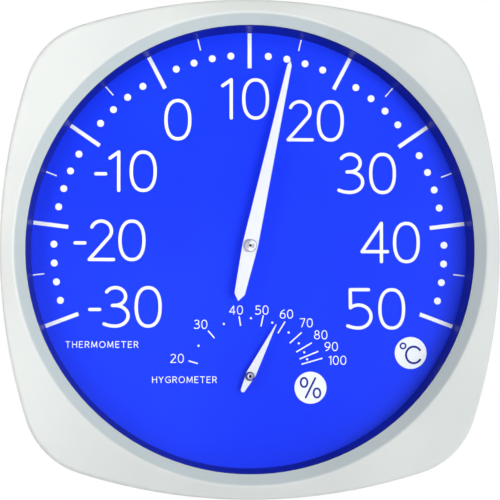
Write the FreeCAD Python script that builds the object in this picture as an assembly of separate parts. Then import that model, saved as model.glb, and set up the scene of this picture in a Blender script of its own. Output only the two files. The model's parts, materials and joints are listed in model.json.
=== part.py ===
import FreeCAD, Part
import math
import os

from FreeCAD import Vector

# Wall-hung dial instrument with a thermometer and a hygrometer behind one round window.
# Lengths are millimetres and angles are degrees. +Z is up, +X is right as the viewer sees it,
# and the dial faces -Y. The origin is on the wall plane, behind the centre of the case.
# "Depth" is the distance from the wall plane towards the viewer, so a point at depth d has y = -d.
# Dial angles run clockwise from twelve o'clock, as the viewer sees them.

# Printed thermometer scale: its size sets the size of the case round it
angle_per_celsius = 2.765
celsius_low_count = -30
celsius_high_count = 50
celsius_at_top_count = 10
major_count = 10
minor_count = 5
dot_count = 2
scale_outer_radius = 109.4
major_length = 17.6
major_width = 1.95
minor_length = 5.7
minor_width = 0.65
dot_circle_inset = 11.1
dot_radius = 1.75

# Printed hygrometer scale: uneven marks, whose lines grow longer towards the damp end
humidity_angles = [-73.1, -40.5, -9.5, 12.1, 31.6, 48.0, 59.6, 67.8, 73.8]
humidity_reach_shares = [0.0, 0.0, 0.0, 0.13, 0.33, 0.53, 0.7, 0.87, 1.0]
humidity_inner_radius = 27.2
humidity_short_line = 4.9
humidity_long_line = 11.0
humidity_line_width = 0.65
humidity_dot_rise = 3.5
humidity_dot_radius = 0.55

# Places of the movements: each axis sits a little above the centre of its printed scale
hygrometer_drop = 65.1
thermometer_axis_rise = 1.9
hygrometer_axis_rise = 1.5

# Layers between the window and the carrier
scale_margin = 0.3
spacer_lean = 2.5
window_thickness = 2.0
pane_gap = 1.9
dial_thickness = 0.8
print_thickness = 0.12
carrier_thickness = 2.5
carrier_rib_inset = 6.3
carrier_rib_width = 2.0
carrier_rib_height = 3.5

# Case: round well and lip, bevel up to a crest ring, then a roof down to the rounded-square outline
lip_margin = 0.2
lip_land = 1.0
pane_seat = 3.9
well_wall = 2.5
well_clearance = 0.3
bevel_width = 6.0
bevel_drop = 4.5
crest_rounding = 1.2
shoulder_width = 6.6
edge_drop = 4.0
edge_rounding = 2.4
edge_band = 0.6
case_side_radius = 280.0
case_corner_radius = 40.0
case_wall = 2.2
roof_thickness = 2.2
rear_draft = 1.2

# Screws that hold the carrier and the cover
case_screw_shank_radius = 1.45
case_screw_head_radius = 3.2
case_screw_head_height = 2.0
case_screw_bite = 8.0
case_screw_hole_clearance = 0.45
boss_wall = 2.5
boss_gap = 2.2
lug_angle = 30.0
lug_rim = 0.5

# Back cover with a raised drum that houses both movements
head_gap = 1.0
cover_thickness = 2.0
cover_clearance = 0.25
drum_gap = 6.0
drum_rounding = 1.2
setting_slot_width = 3.6
setting_slot_reach = 5.0
vent_count = 9
vent_width = 2.6
vent_pitch = 8.0
vent_drum_gap = 18.0
vent_length = 44.0
keyhole_entry_radius = 5.0
keyhole_slot_width = 5.0
keyhole_travel = 10.0
keyhole_top_inset = 27.0
foot_radius = 7.0
foot_screw_gap = 23.0
foot_edge_gap = 28.0

# Depth stack of a movement, from the drum's floor to the carrier
bush_rear_gap = 0.7
bush_head_height = 0.8
bridge_thickness = 1.0
running_gap = 0.1
regulator_thickness = 1.0
bush_flange_height = 0.6
end_play = 0.2
collet_neck = 1.5
coil_margin = 0.5
front_flange_height = 1.0

# Radial sizes that both movements share
shaft_clearance = 0.05
pivot_radius = 0.6
arbor_radius = 1.0
bush_wall = 1.35
bush_head_overhang = 1.0
bush_collar_step = 0.5
bush_flange_overhang = 0.9
front_bush_wall = 1.15
front_flange_overhang = 1.3
dial_hole_clearance = 0.3
collet_neck_wall = 0.6
regulator_ring_wall = 2.4
regulator_arm_width = 4.0
regulator_tab_radius = 2.6
regulator_tab_reach = 5.0
stud_radius = 1.1
stud_overlap = 0.3
bridge_width = 9.0
bridge_side_gap = 3.0
bridge_foot_length = 6.5
bridge_screw_radius = 1.0
bridge_screw_head_radius = 2.0
bridge_screw_head_height = 1.2
bridge_screw_tip_gap = 0.4

# Thermometer movement: bimetal coil
thermometer_half_turn_count = 15
thermometer_coil_pitch = 1.3
thermometer_strip = 0.5
thermometer_coil_width = 4.0
thermometer_collet_wall = 2.0

# Hygrometer movement: humidity coil
hygrometer_half_turn_count = 13
hygrometer_coil_pitch = 1.1
hygrometer_strip = 0.35
hygrometer_coil_width = 3.2
hygrometer_collet_wall = 1.6

# Pointers
thermometer_rest_angle = 12.3
thermometer_pointer_lift = 5.0
thermometer_pointer_thickness = 0.5
thermometer_tip_gap = 2.9
thermometer_pointer_hub_width = 7.8
thermometer_tip_width = 2.2
thermometer_tip_taper = 2.4
thermometer_tail_length = 28.5
thermometer_tail_width = 5.2
thermometer_tail_taper = 3.6
hygrometer_rest_angle = 26.85
hygrometer_pointer_lift = 2.6
hygrometer_pointer_thickness = 0.4
hygrometer_tip_overlap = 2.1
hygrometer_pointer_hub_width = 4.9
hygrometer_tip_width = 0.4
hygrometer_tail_length = 8.8
hygrometer_tail_width = 2.2

# Pointer hubs: a cap in front of the pointer, a spigot through it and a collar behind it
hub_spigot_wall = 0.6
hub_collar_step = 0.7
hub_collar_height = 0.8
thermometer_cap_rim = 1.7
thermometer_cap_height = 1.6
thermometer_cap_bevel_width = 0.5
thermometer_cap_bevel_height = 0.5
hygrometer_cap_rim = 0.4
hygrometer_cap_height = 1.5
hygrometer_cap_bevel_width = 0.65
hygrometer_cap_bevel_height = 0.9
cap_pinhole_radius = 0.55
cap_top_thickness = 0.5
arbor_centre_radius = 0.5
arbor_centre_depth = 1.5

# One overrun serves every cut
overrun = 1.0

# Radii from the dial outwards
dot_circle_radius = scale_outer_radius - dot_circle_inset
humidity_dot_circle_radius = humidity_inner_radius + humidity_dot_rise
thermometer_pointer_length = dot_circle_radius - thermometer_tip_gap
hygrometer_pointer_length = humidity_inner_radius + hygrometer_tip_overlap
spacer_rear_radius = scale_outer_radius + scale_margin
spacer_front_radius = spacer_rear_radius + spacer_lean
lip_radius = spacer_front_radius + lip_margin
well_radius = lip_radius + pane_seat
well_outer_radius = well_radius + well_wall
layer_radius = well_radius - well_clearance
carrier_rib_radius = well_radius - carrier_rib_inset
crest_radius = lip_radius + bevel_width
case_width = 2 * (crest_radius + shoulder_width)

# Radii from a shaft or a screw outwards
bush_body_radius = pivot_radius + shaft_clearance + bush_wall
bush_head_radius = bush_body_radius + bush_head_overhang
bush_collar_radius = bush_body_radius + bush_collar_step
bush_flange_radius = bush_collar_radius + bush_flange_overhang
front_bush_radius = arbor_radius + shaft_clearance + front_bush_wall
front_flange_radius = front_bush_radius + front_flange_overhang
collet_neck_radius = arbor_radius + collet_neck_wall
hub_spigot_radius = arbor_radius + hub_spigot_wall
case_screw_pilot_radius = case_screw_shank_radius + shaft_clearance
case_screw_clearance_radius = case_screw_shank_radius + case_screw_hole_clearance
boss_radius = case_screw_pilot_radius + boss_wall
lug_radius = boss_radius + lug_rim
lug_circle_radius = well_outer_radius + boss_gap + boss_radius

# Depths from the wall plane forwards
wall_gap = case_screw_head_height + head_gap
case_rear = wall_gap
cover_front = wall_gap + cover_thickness
drum_floor = cover_thickness
bush_rear = drum_floor + bush_rear_gap
bridge_rear = bush_rear + bush_head_height
bridge_front = bridge_rear + bridge_thickness
regulator_rear = bridge_front + running_gap
regulator_front = regulator_rear + regulator_thickness
flange_rear = regulator_front + running_gap
flange_front = flange_rear + bush_flange_height
collet_rear = flange_front + end_play
coil_rear = collet_rear + collet_neck
collet_front = coil_rear + max(thermometer_coil_width, hygrometer_coil_width) + coil_margin
front_flange_rear = collet_front + end_play
carrier_rear = front_flange_rear + front_flange_height
carrier_front = carrier_rear + carrier_thickness
dial_front = carrier_front + dial_thickness
thermometer_hub_height = thermometer_pointer_lift + thermometer_pointer_thickness + thermometer_cap_height
window_rear = dial_front + thermometer_hub_height + pane_gap
window_front = window_rear + window_thickness
lip_front = window_front + lip_land
crest_depth = lip_front + bevel_drop
edge_depth = crest_depth - edge_drop

# The two movements, one table each, so that one set of functions makes both
thermometer = {
    "name": "thermometer",
    "z": thermometer_axis_rise,
    "half_turns": thermometer_half_turn_count,
    "pitch": thermometer_coil_pitch,
    "strip": thermometer_strip,
    "coil_width": thermometer_coil_width,
    "collet_radius": arbor_radius + thermometer_collet_wall,
    "rest_angle": thermometer_rest_angle,
    "lift": thermometer_pointer_lift,
    "sheet": thermometer_pointer_thickness,
    "cap_radius": hub_spigot_radius + thermometer_cap_rim,
    "cap_height": thermometer_cap_height,
    "bevel_width": thermometer_cap_bevel_width,
    "bevel_height": thermometer_cap_bevel_height,
}
hygrometer = {
    "name": "hygrometer",
    "z": hygrometer_axis_rise - hygrometer_drop,
    "half_turns": hygrometer_half_turn_count,
    "pitch": hygrometer_coil_pitch,
    "strip": hygrometer_strip,
    "coil_width": hygrometer_coil_width,
    "collet_radius": arbor_radius + hygrometer_collet_wall,
    "rest_angle": hygrometer_rest_angle,
    "lift": hygrometer_pointer_lift,
    "sheet": hygrometer_pointer_thickness,
    "cap_radius": hub_spigot_radius + hygrometer_cap_rim,
    "cap_height": hygrometer_cap_height,
    "bevel_width": hygrometer_cap_bevel_width,
    "bevel_height": hygrometer_cap_bevel_height,
}


def point(x, z, depth):
    return Vector(x, -depth, z)


def polar(radius, angle):
    """x and z of a point at a dial angle."""
    turn = math.radians(angle)
    return radius * math.sin(turn), radius * math.cos(turn)


def disc(radius, rear, front, x=0, z=0):
    """Round slab between two depths."""
    return Part.makeCylinder(radius, front - rear, point(x, z, front), Vector(0, 1, 0))


def ring(outer, inner, rear, front, x=0, z=0):
    hole = disc(inner, rear - overrun, front + overrun, x, z)
    return disc(outer, rear, front, x, z).cut(hole)


def cone(rear_radius, front_radius, rear, front, x=0, z=0):
    return Part.makeCone(front_radius, rear_radius, front - rear, point(x, z, front), Vector(0, 1, 0))


def block(x_low, x_high, z_low, z_high, rear, front):
    corner = point(x_low, z_low, front)
    return Part.makeBox(x_high - x_low, front - rear, z_high - z_low, corner)


def slab(edges, rear, front):
    """Solid between two depths, from edges that close an outline drawn at the front depth."""
    face = Part.Face(Part.Wire(edges))
    return face.extrude(Vector(0, front - rear, 0))


def polygon_slab(corners, rear, front):
    points = [point(x, z, front) for x, z in corners]
    wire = Part.makePolygon(points + points[:1])
    return Part.Face(wire).extrude(Vector(0, front - rear, 0))


def obround(radius, x_a, z_a, x_b, z_b, rear, front):
    """Slab with two round ends, round the line from a to b."""
    length = math.hypot(x_b - x_a, z_b - z_a)
    side_x, side_z = -(z_b - z_a) / length * radius, (x_b - x_a) / length * radius
    corners = [
        (x_a + side_x, z_a + side_z),
        (x_b + side_x, z_b + side_z),
        (x_b - side_x, z_b - side_z),
        (x_a - side_x, z_a - side_z),
    ]
    middle = polygon_slab(corners, rear, front)
    ends = [disc(radius, rear, front, x_a, z_a), disc(radius, rear, front, x_b, z_b)]
    return middle.fuse(ends).removeSplitter()


def turned(shape, angle, z=0):
    """The shape turned clockwise, as the viewer sees it, about a pointer axis."""
    copy = shape.copy()
    copy.rotate(Vector(0, 0, z), Vector(0, 1, 0), angle)
    return copy


def four_corners(x, z):
    return [(sign_x * x, sign_z * z) for sign_x in (-1, 1) for sign_z in (-1, 1)]


def corner_centre():
    """x and z of the centre of the upper right corner arc, tangent to its two side arcs."""
    side = case_width / 2 - case_side_radius
    span = case_side_radius - case_corner_radius
    return (side + math.sqrt(2 * span**2 - side**2)) / 2


def junctions(inset):
    """The points where the upper side arc and the upper right corner arc meet, with their middles."""
    side = case_width / 2 - case_side_radius
    centre = corner_centre()
    span = case_side_radius - case_corner_radius
    reach = case_side_radius - inset
    meet_x, meet_z = reach * centre / span, side + reach * (centre - side) / span
    diagonal = centre + (case_corner_radius - inset) / math.sqrt(2)
    return meet_x, meet_z, diagonal


def quarter_turned(x, z, quarter):
    for _ in range(quarter):
        x, z = z, -x
    return x, z


def case_outline(inset, depth):
    """The case's outline at a depth, as a wire of eight arcs."""
    meet_x, meet_z, diagonal = junctions(inset)
    top = case_width / 2 - inset
    side_arc = [(-meet_x, meet_z), (0, top), (meet_x, meet_z)]
    corner_arc = [(meet_x, meet_z), (diagonal, diagonal), (meet_z, meet_x)]
    return eight_arcs(side_arc, corner_arc, depth)


def circle_outline(radius, depth):
    """A circle cut into eight arcs at the same directions as the case's outline."""
    meet_x, meet_z, _ = junctions(0)
    meet = math.degrees(math.atan2(meet_x, meet_z))
    side_arc = [polar(radius, -meet), polar(radius, 0), polar(radius, meet)]
    corner_arc = [polar(radius, meet), polar(radius, 45), polar(radius, 90 - meet)]
    return eight_arcs(side_arc, corner_arc, depth)


def eight_arcs(side_arc, corner_arc, depth):
    edges = []
    for quarter in range(4):
        for arc in (side_arc, corner_arc):
            ends = [point(*quarter_turned(x, z, quarter), depth) for x, z in arc]
            edges.append(Part.Arc(*ends).toShape())
    return Part.Wire(edges)


def case_block(inset, lowered, rounded):
    """The case as a full block: drafted sides, a straight band, and a roof up to the crest circle."""
    edge = edge_depth - lowered
    land = edge - edge_rounding - edge_band
    rear = case_outline(inset + rear_draft, case_rear)
    sides = Part.makeLoft([rear, case_outline(inset, land)], True, True)
    band = Part.makeLoft([case_outline(inset, land), case_outline(inset, edge)], True, True)
    crest = circle_outline(crest_radius, crest_depth - lowered)
    roof = Part.makeLoft([case_outline(inset, edge), crest], True, True)
    whole = sides.fuse([band, roof]).removeSplitter()
    if rounded:
        rim = [e for e in whole.Edges if lies_at_depth(e, edge)]
        whole = whole.makeFillet(edge_rounding, rim)
    return whole


def lies_at_depth(edge, depth):
    slack = running_gap / 10
    box = edge.BoundBox
    return abs(box.YMin + depth) < slack and abs(box.YMax + depth) < slack


def cover_screw_places():
    """One screw near each corner, clear of the drafted side walls."""
    room = case_corner_radius - case_wall - rear_draft - boss_gap - boss_radius
    offset = corner_centre() + room / math.sqrt(2)
    return four_corners(offset, offset)


def lug_places():
    return [polar(lug_circle_radius, a) for a in (lug_angle, 180 - lug_angle, 180 + lug_angle, -lug_angle)]


def front_frame():
    """Moulded case: outer shell, roof, bevelled lip, round well, and eight screw bosses."""
    outer = case_block(0, 0, True)
    core = disc(well_outer_radius, 0, crest_depth)
    hollow = case_block(case_wall, roof_thickness, False).cut(core)
    shell = outer.cut(hollow)
    shell = shell.cut(disc(well_outer_radius, case_rear - overrun, carrier_front))
    shell = shell.cut(disc(well_radius, carrier_front - overrun, window_front))
    shell = shell.cut(disc(lip_radius, window_front - overrun, crest_depth + overrun))
    shell = shell.cut(cone(lip_radius, crest_radius, lip_front, crest_depth))
    crest = [e for e in shell.Edges if lies_at_depth(e, crest_depth)]
    shell = shell.makeFillet(crest_rounding, crest)
    places = [(x, z, cover_front) for x, z in cover_screw_places()]
    places += [(x, z, carrier_front) for x, z in lug_places()]
    inside = case_block(case_wall / 2, roof_thickness / 2, False)
    posts = [disc(boss_radius, rear, crest_depth, x, z).common(inside) for x, z, rear in places]
    shell = shell.fuse(posts)
    for x, z, rear in places:
        shell = shell.cut(disc(case_screw_pilot_radius, rear - overrun, rear + case_screw_bite, x, z))
    return shell.removeSplitter()


def case_screw(x, z, seat, tip):
    """Self-tapping screw that goes in from the rear: a domed head behind its seat, and a shank."""
    head = disc(case_screw_head_radius, seat - case_screw_head_height, seat, x, z)
    crown = [e for e in head.Edges if lies_at_depth(e, seat - case_screw_head_height)]
    head = head.makeFillet(case_screw_head_height / 2, crown)
    shank = disc(case_screw_shank_radius, seat, tip, x, z)
    slot = case_screw_head_radius / 2
    blade = slot / 4
    top = seat - case_screw_head_height
    recess_floor = seat - case_screw_head_height / 2
    cross = block(x - slot, x + slot, z - blade, z + blade, top - overrun, recess_floor)
    cross = cross.fuse(block(x - blade, x + blade, z - slot, z + slot, top - overrun, recess_floor))
    return head.fuse(shank).cut(cross).removeSplitter()


def window_pane():
    return disc(layer_radius, window_rear, window_front)


def spacer_ring():
    """Ring that holds the dial away from the window; its wall leans outwards to the front."""
    mouth = cone(spacer_rear_radius, spacer_front_radius, dial_front, window_rear)
    return disc(layer_radius, dial_front, window_rear).cut(mouth)


def dial_plate():
    plate = disc(layer_radius, carrier_front, dial_front)
    for movement in (thermometer, hygrometer):
        hole = front_bush_radius + dial_hole_clearance
        plate = plate.cut(disc(hole, carrier_front - overrun, dial_front + overrun, 0, movement["z"]))
    return plate


def scale_line(inner, outer, width, angle, z=0):
    front = dial_front + print_thickness
    line = block(-width / 2, width / 2, z + inner, z + outer, dial_front, front)
    return turned(line, angle, z)


def scale_dot(circle, radius, angle, z=0):
    x, up = polar(circle, angle)
    return disc(radius, dial_front, dial_front + print_thickness, x, z + up)


def thermometer_scale():
    """Broad lines every ten degrees, thin lines between them, and dots every two degrees."""
    marks = []
    for celsius in range(celsius_low_count, celsius_high_count + 1):
        angle = (celsius - celsius_at_top_count) * angle_per_celsius
        if celsius % major_count == 0:
            inner = scale_outer_radius - major_length
            marks.append(scale_line(inner, scale_outer_radius, major_width, angle))
        elif celsius % minor_count == 0:
            inner = scale_outer_radius - minor_length
            marks.append(scale_line(inner, scale_outer_radius, minor_width, angle))
        elif celsius % dot_count == 0:
            marks.append(scale_dot(dot_circle_radius, dot_radius, angle))
    return Part.makeCompound(marks)


def hygrometer_scale():
    """Uneven humidity lines with a dot halfway between each two."""
    z = -hygrometer_drop
    marks = []
    for angle, share in zip(humidity_angles, humidity_reach_shares):
        length = humidity_short_line + share * (humidity_long_line - humidity_short_line)
        outer = humidity_inner_radius + length
        marks.append(scale_line(humidity_inner_radius, outer, humidity_line_width, angle, z))
    for low, high in zip(humidity_angles, humidity_angles[1:]):
        marks.append(scale_dot(humidity_dot_circle_radius, humidity_dot_radius, (low + high) / 2, z))
    return Part.makeCompound(marks)


def carrier_plate():
    """Round plate behind the dial: it closes the well, and carries both movements."""
    plate = disc(well_outer_radius, carrier_rear, carrier_front)
    rib_outer = carrier_rib_radius + carrier_rib_width
    rib = ring(rib_outer, carrier_rib_radius, carrier_rear - carrier_rib_height, carrier_rear)
    lugs = []
    for x, z in lug_places():
        inward = carrier_rib_radius / lug_circle_radius
        lugs.append(obround(lug_radius, x * inward, z * inward, x, z, carrier_rear, carrier_front))
    plate = plate.fuse([rib] + lugs)
    for x, z in lug_places():
        hole = disc(case_screw_clearance_radius, carrier_rear - overrun, carrier_front + overrun, x, z)
        plate = plate.cut(hole)
    for movement in (thermometer, hygrometer):
        z = movement["z"]
        plate = plate.cut(disc(front_bush_radius, carrier_rear - overrun, carrier_front + overrun, 0, z))
        for x in bridge_screw_places(movement):
            hole = disc(bridge_screw_radius, carrier_rear - overrun, carrier_front + overrun, x, z)
            plate = plate.cut(hole)
    return plate.removeSplitter()


def carrier_screws():
    tip = carrier_rear + case_screw_bite
    return Part.makeCompound([case_screw(x, z, carrier_rear, tip) for x, z in lug_places()])


def back_cover():
    """Flat cover inside the case's rear rim: a drum with two setting slots, vents and a keyhole."""
    inset = case_wall + rear_draft + cover_clearance
    wire = case_outline(inset, cover_front)
    plate = Part.Face(wire).extrude(Vector(0, cover_thickness, 0))
    z_low, z_high = hygrometer["z"], thermometer["z"]
    drum_radius = drum_outer_radius()
    drum = obround(drum_radius, 0, z_low, 0, z_high, 0, cover_front)
    crown = [e for e in drum.Edges if lies_at_depth(e, 0)]
    drum = drum.makeFillet(drum_rounding, crown)
    cover = plate.fuse(drum)
    pocket_radius = drum_radius - cover_thickness
    cover = cover.cut(obround(pocket_radius, 0, z_low, 0, z_high, drum_floor, cover_front + overrun))
    cuts = []
    for x, z in cover_screw_places():
        cuts.append(disc(case_screw_clearance_radius, wall_gap - overrun, cover_front + overrun, x, z))
    for row in range(vent_count):
        z = (z_low + z_high) / 2 + (row - (vent_count - 1) / 2) * vent_pitch
        for side in (-1, 1):
            start = side * (drum_radius + vent_drum_gap)
            end = start + side * vent_length
            slot = obround(vent_width / 2, start, z, end, z, wall_gap - overrun, cover_front + overrun)
            cuts.append(slot)
    seat_z = case_width / 2 - keyhole_top_inset
    entry_z = seat_z - keyhole_travel
    cuts.append(disc(keyhole_entry_radius, wall_gap - overrun, cover_front + overrun, 0, entry_z))
    slot_radius = keyhole_slot_width / 2
    cuts.append(obround(slot_radius, 0, entry_z, 0, seat_z, wall_gap - overrun, cover_front + overrun))
    for movement in (thermometer, hygrometer):
        z = tab_height(movement)
        reach = setting_slot_reach
        cuts.append(obround(setting_slot_width / 2, -reach, z, reach, z, -overrun, drum_floor + overrun))
    return cover.cut(Part.makeCompound(cuts)).removeSplitter()


def cover_screws():
    tip = wall_gap + case_screw_bite
    return Part.makeCompound([case_screw(x, z, wall_gap, tip) for x, z in cover_screw_places()])


def wall_feet():
    x = max(place[0] for place in cover_screw_places()) - foot_screw_gap
    z = case_width / 2 - foot_edge_gap
    return Part.makeCompound([disc(foot_radius, 0, wall_gap, *place) for place in four_corners(x, z)])


def coil_inner_radius(movement):
    return movement["collet_radius"] + shaft_clearance


def coil_end_height(movement):
    """How far above the axis the middle of the coil's outer end lies."""
    growth = (movement["half_turns"] - 1) * movement["pitch"] / 2
    return coil_inner_radius(movement) + growth + movement["strip"] / 2


def drum_outer_radius():
    """The drum clears the larger regulator's tab all round."""
    swing = coil_end_height(thermometer) + regulator_tab_reach + regulator_tab_radius
    return swing + drum_gap + cover_thickness


def tab_height(movement):
    """How high above the dial's centre the middle of the regulator's tab lies."""
    return movement["z"] + coil_end_height(movement) + regulator_tab_reach


def bridge_reach(movement):
    """Half of the bridge's span, outside its legs."""
    coil_radius = coil_end_height(movement) + movement["strip"] / 2 + movement["pitch"] / 2
    return coil_radius + bridge_side_gap + bridge_thickness


def bridge_screw_places(movement):
    x = bridge_reach(movement) + bridge_foot_length / 2
    return [-x, x]


def spiral_coil(movement):
    """Flat strip wound on edge: half circles about two centres, each wider than the last."""
    z = movement["z"]
    front = coil_rear + movement["coil_width"]
    boundaries = {}
    for offset in (0, movement["strip"]):
        arcs = []
        for half in range(movement["half_turns"]):
            radius = coil_inner_radius(movement) + half * movement["pitch"] / 2 + offset
            centre = z if half % 2 == 0 else z - movement["pitch"] / 2
            upward = 1 if half % 2 == 0 else -1
            ends = [(0, -radius), (-radius, 0), (0, radius)]
            arcs.append(Part.Arc(*[point(x * upward, centre + up * upward, front) for x, up in ends]))
        boundaries[offset] = arcs
    inner, outer = boundaries[0], boundaries[movement["strip"]]
    edges = [arc.toShape() for arc in inner + outer]
    edges.append(Part.LineSegment(inner[0].StartPoint, outer[0].StartPoint).toShape())
    edges.append(Part.LineSegment(inner[-1].EndPoint, outer[-1].EndPoint).toShape())
    return slab(Part.__sortEdges__(edges), coil_rear, front)


def stud(movement):
    """Slotted post on the regulator, which grips the coil's outer end."""
    z = movement["z"] + coil_end_height(movement)
    front = coil_rear + movement["coil_width"] + stud_overlap
    post = disc(stud_radius, regulator_front, front, 0, z)
    return post.cut(spiral_coil(movement))


def regulator(movement):
    """Arm that turns stiffly on the rear bush, and shifts the coil's outer end to set the zero."""
    z = movement["z"]
    hole = bush_collar_radius + shaft_clearance
    hub = disc(hole + regulator_ring_wall, regulator_rear, regulator_front, 0, z)
    tip = tab_height(movement)
    arm = obround(regulator_arm_width / 2, 0, z, 0, tip, regulator_rear, regulator_front)
    tab = disc(regulator_tab_radius, regulator_rear, regulator_front, 0, tip)
    plate = hub.fuse([arm, tab])
    return plate.cut(disc(hole, regulator_rear - overrun, regulator_front + overrun, 0, z)).removeSplitter()


def bridge(movement):
    """Bent strip that stands on the carrier and holds the rear bush."""
    z = movement["z"]
    half, reach = bridge_width / 2, bridge_reach(movement)
    bar = block(-reach, reach, z - half, z + half, bridge_rear, bridge_front)
    pieces = []
    for side in (-1, 1):
        inner, outer, end = reach - bridge_thickness, reach, reach + bridge_foot_length
        leg_x = sorted((side * inner, side * outer))
        foot_x_range = sorted((side * inner, side * end))
        pieces.append(block(*leg_x, z - half, z + half, bridge_rear, carrier_rear))
        foot_rear = carrier_rear - bridge_thickness
        pieces.append(block(*foot_x_range, z - half, z + half, foot_rear, carrier_rear))
    strip = bar.fuse(pieces)
    strip = strip.cut(disc(bush_body_radius, bridge_rear - overrun, bridge_front + overrun, 0, z))
    for x in bridge_screw_places(movement):
        hole = bridge_screw_radius + shaft_clearance
        strip = strip.cut(disc(hole, carrier_rear - bridge_thickness - overrun, carrier_rear, x, z))
    return strip.removeSplitter()


def bridge_screws(movement):
    screws = []
    for x in bridge_screw_places(movement):
        seat = carrier_rear - bridge_thickness
        top = seat - bridge_screw_head_height
        head = disc(bridge_screw_head_radius, top, seat, x, movement["z"])
        shank = disc(bridge_screw_radius, seat, carrier_front - bridge_screw_tip_gap, x, movement["z"])
        blade = bridge_screw_head_radius / 8
        z_low, z_high = movement["z"] - blade, movement["z"] + blade
        x_low, x_high = x - bridge_screw_head_radius, x + bridge_screw_head_radius
        slot_floor = top + bridge_screw_head_height / 2
        slot = block(x_low, x_high, z_low, z_high, top - overrun, slot_floor)
        screws.append(head.fuse(shank).cut(slot).removeSplitter())
    return Part.makeCompound(screws)


def rear_bush(movement):
    """Bush riveted in the bridge: a head, a body, a collar that the regulator turns on, and a flange."""
    z = movement["z"]
    head = disc(bush_head_radius, bush_rear, bridge_rear, 0, z)
    body = disc(bush_body_radius, bridge_rear, bridge_front, 0, z)
    collar = disc(bush_collar_radius, bridge_front, flange_rear, 0, z)
    flange = disc(bush_flange_radius, flange_rear, flange_front, 0, z)
    bore = disc(pivot_radius + shaft_clearance, bush_rear - overrun, flange_front + overrun, 0, z)
    return head.fuse([body, collar, flange]).cut(bore).removeSplitter()


def front_bush(movement):
    """Flanged bush pressed into the carrier from behind."""
    z = movement["z"]
    flange = disc(front_flange_radius, front_flange_rear, carrier_rear, 0, z)
    body = disc(front_bush_radius, carrier_rear, dial_front, 0, z)
    bore = disc(arbor_radius + shaft_clearance, front_flange_rear - overrun, dial_front + overrun, 0, z)
    return flange.fuse(body).cut(bore).removeSplitter()


def sheet_rear(movement):
    return dial_front + movement["lift"]


def sheet_front(movement):
    return sheet_rear(movement) + movement["sheet"]


def arbor(movement):
    """Stepped shaft: thin pivot at the rear, and a thicker stem up to the pointer's cap, centre-drilled."""
    z = movement["z"]
    pivot = disc(pivot_radius, bush_rear, collet_rear, 0, z)
    top = sheet_front(movement) + movement["cap_height"] - cap_top_thickness
    stem = disc(arbor_radius, collet_rear, top, 0, z)
    centre = disc(arbor_centre_radius, top - arbor_centre_depth, top + overrun, 0, z)
    return pivot.fuse(stem).cut(centre).removeSplitter()


def collet(movement):
    """Brass collet on the arbor, which drives it from the coil's inner end."""
    z = movement["z"]
    neck = disc(collet_neck_radius, collet_rear, coil_rear, 0, z)
    barrel = disc(movement["collet_radius"], coil_rear, collet_front, 0, z)
    bore = disc(arbor_radius, collet_rear - overrun, collet_front + overrun, 0, z)
    return neck.fuse(barrel).cut(bore).removeSplitter()


def pointer_hub(movement):
    """Turned cap in front of the pointer sheet, with a spigot through it and a collar behind it."""
    z = movement["z"]
    rear, front = sheet_rear(movement), sheet_front(movement)
    top = front + movement["cap_height"]
    shoulder = top - movement["bevel_height"]
    cap = disc(movement["cap_radius"], front, shoulder, 0, z)
    crown_radius = movement["cap_radius"] - movement["bevel_width"]
    crown = cone(movement["cap_radius"], crown_radius, shoulder, top, 0, z)
    spigot = disc(hub_spigot_radius, rear, front, 0, z)
    collar = disc(hub_spigot_radius + hub_collar_step, rear - hub_collar_height, rear, 0, z)
    bore = disc(arbor_radius, rear - hub_collar_height - overrun, top - cap_top_thickness, 0, z)
    pinhole = disc(cap_pinhole_radius, rear, top + overrun, 0, z)
    return cap.fuse([crown, spigot, collar]).cut(bore.fuse(pinhole)).removeSplitter()


def thermometer_pointer():
    """Long tapered sheet, widest at its hub, with a pointed tip and a pointed tail."""
    half_hub = thermometer_pointer_hub_width / 2
    half_tip = thermometer_tip_width / 2
    half_tail = thermometer_tail_width / 2
    centre = thermometer["z"]
    tip, tail = centre + thermometer_pointer_length, centre - thermometer_tail_length
    right = [
        (half_tip, tip - thermometer_tip_taper),
        (half_hub, centre),
        (half_tail, tail + thermometer_tail_taper),
    ]
    left = [(-x, z) for x, z in reversed(right)]
    corners = [(0, tip)] + right + [(0, tail)] + left
    sheet = polygon_slab(corners, sheet_rear(thermometer), sheet_front(thermometer))
    hole = disc(hub_spigot_radius, dial_front, window_rear, 0, centre)
    return turned(sheet.cut(hole), thermometer_rest_angle, centre)


def hygrometer_pointer():
    """Short lancet sheet with a rounded tail."""
    z = hygrometer["z"]
    rear, front = sheet_rear(hygrometer), sheet_front(hygrometer)
    half_hub, half_tip = hygrometer_pointer_hub_width / 2, hygrometer_tip_width / 2
    tail_radius = hygrometer_tail_width / 2
    tail_z = z - hygrometer_tail_length + tail_radius
    corners = [
        (half_tip, z + hygrometer_pointer_length),
        (half_hub, z + half_hub / 2),
        (tail_radius, tail_z),
        (-tail_radius, tail_z),
        (-half_hub, z + half_hub / 2),
        (-half_tip, z + hygrometer_pointer_length),
    ]
    sheet = polygon_slab(corners, rear, front).fuse(disc(tail_radius, rear, front, 0, tail_z))
    hole = disc(hub_spigot_radius, dial_front, window_rear, 0, z)
    return turned(sheet.removeSplitter().cut(hole), hygrometer_rest_angle, z)


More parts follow.
